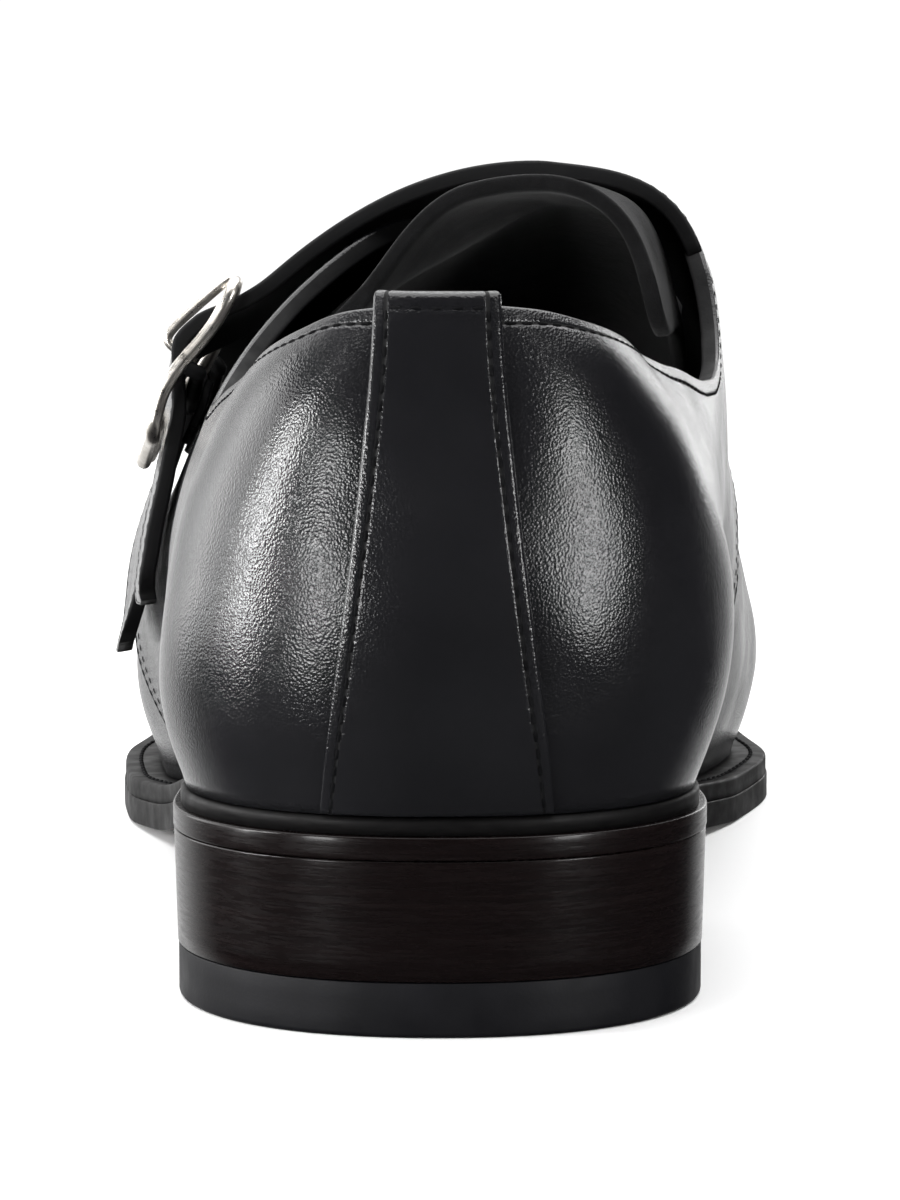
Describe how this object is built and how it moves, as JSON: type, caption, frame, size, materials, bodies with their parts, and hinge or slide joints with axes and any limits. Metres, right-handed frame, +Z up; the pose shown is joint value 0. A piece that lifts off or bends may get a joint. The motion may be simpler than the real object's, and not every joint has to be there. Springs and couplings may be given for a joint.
{
  "type": "monk strap shoe",
  "caption": "Left leather dress shoe with a plain toe, crossing buckled straps over the instep, a heel strip and a stacked heel.",
  "frame": {"origin": "middle of the footprint, on the floor the shoe stands on", "axes": "+Y from the heel to the toe, +X to the inner (medial) side, +Z up"},
  "size_m": [0.1058, 0.2994, 0.1013],
  "materials": {
    "calf_leather": "smooth black calf with a fine grain, satin polish",
    "suede_leather": "black, matt, short nap",
    "lining_leather": "black lining leather, matt",
    "sole_leather": "edge dyed black and waxed",
    "stacked_leather": "stacked lifts, dark brown-black, burnished",
    "heel_rubber": "black rubber, matt",
    "buckle_metal": "satin silver plating"
  },
  "bodies": {
    "root": {"top_lift": "heel_rubber", "heel_stack": "stacked_leather", "outsole": "sole_leather", "welt": "sole_leather", "insole": "lining_leather", "upper": "calf_leather", "backstay": "calf_leather", "tongue": "suede_leather", "strap_rear": "calf_leather", "buckle_rear": "buckle_metal", "prong_rear": "buckle_metal", "tab_rear": "calf_leather", "strap_front": "calf_leather", "buckle_front": "buckle_metal", "prong_front": "buckle_metal", "tab_front": "calf_leather"}
  },
  "joints": []
}
